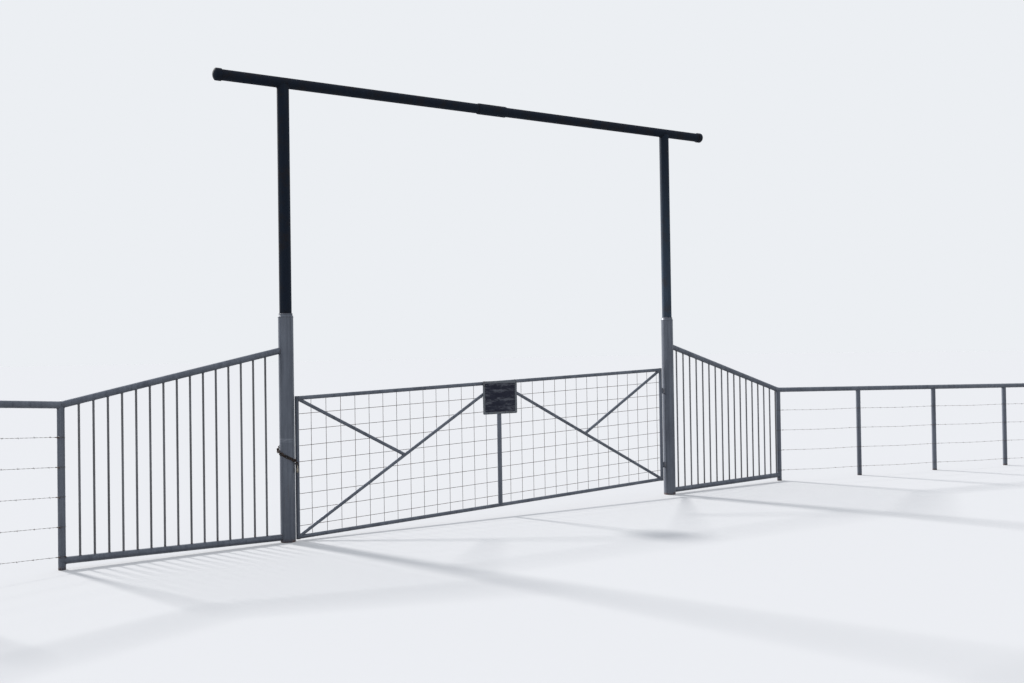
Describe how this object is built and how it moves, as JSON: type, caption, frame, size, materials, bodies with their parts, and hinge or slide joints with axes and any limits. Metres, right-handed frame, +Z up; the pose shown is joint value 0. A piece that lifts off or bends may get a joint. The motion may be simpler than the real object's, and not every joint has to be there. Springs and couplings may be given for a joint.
{
  "type": "ranch gateway",
  "caption": "Pipe ranch gateway: two telescoped posts under an overhead beam, a sagging mesh gate on pin hinges, sloping picket wings and wire fence bays.",
  "frame": {"origin": "centre of the hinge post's foot face, at ground level", "axes": "+X along the gateway from the latch post to the hinge post, +Y inward through the gateway, +Z up"},
  "size_m": [16.4013, 1.3905, 4.4738],
  "materials": {
    "silver_paint": "weathered aluminium paint with light rust",
    "dark_pipe": "dark weathered drill pipe",
    "picket_steel": "weathered silver paint, rusting towards the ground",
    "rusty_wire": "rusted wire",
    "rusty_chain": "rusted chain",
    "sheet_metal": "dull grey sheet",
    "sign_paint": "dark navy paint",
    "lock_metal": "worn plated steel"
  },
  "bodies": {
    "gateway": {"latch_post_base": "silver_paint", "latch_post_upper": "dark_pipe", "latch_post_ring": "silver_paint", "hinge_post_base": "silver_paint", "hinge_post_upper": "dark_pipe", "hinge_post_ring": "silver_paint", "beam_latch_length": "dark_pipe", "beam_hinge_length": "dark_pipe", "beam_coupling": "dark_pipe", "beam_latch_cap": "dark_pipe", "beam_hinge_cap": "dark_pipe", "latch_wing_top_rail": "silver_paint", "latch_wing_foot_rail": "silver_paint", "latch_wing_pickets": "picket_steel", "latch_corner_post": "silver_paint", "hinge_wing_top_rail": "silver_paint", "hinge_wing_foot_rail": "silver_paint", "hinge_wing_pickets": "picket_steel", "hinge_corner_post": "silver_paint", "latch_fence_posts": "silver_paint", "latch_fence_rail": "silver_paint", "latch_fence_wires": "rusty_wire", "hinge_fence_posts": "silver_paint", "hinge_fence_rail": "silver_paint", "hinge_fence_wires": "rusty_wire", "hinge_pins": "silver_paint", "latch_chain": "rusty_chain", "padlock": "lock_metal"},
    "gate_leaf": {"gate_top_rail": "silver_paint", "gate_foot_rail": "silver_paint", "gate_latch_stile": "silver_paint", "gate_hinge_stile": "silver_paint", "gate_middle_stile": "silver_paint", "gate_latch_long_brace": "silver_paint", "gate_latch_short_brace": "silver_paint", "gate_hinge_long_brace": "silver_paint", "gate_hinge_short_brace": "silver_paint", "gate_latch_mesh": "rusty_wire", "gate_hinge_mesh": "rusty_wire", "gate_hinge_eyes": "silver_paint", "sign_backing": "sheet_metal", "sign_plate": "sign_paint"}
  },
  "joints": [
    {"name": "gate_swing", "type": "hinge", "parent": "gateway", "child": "gate_leaf", "pos_m": [-0.088, 0, 0.8], "axis": [0, 0, 1], "range_deg": [-90, 0]}
  ]
}
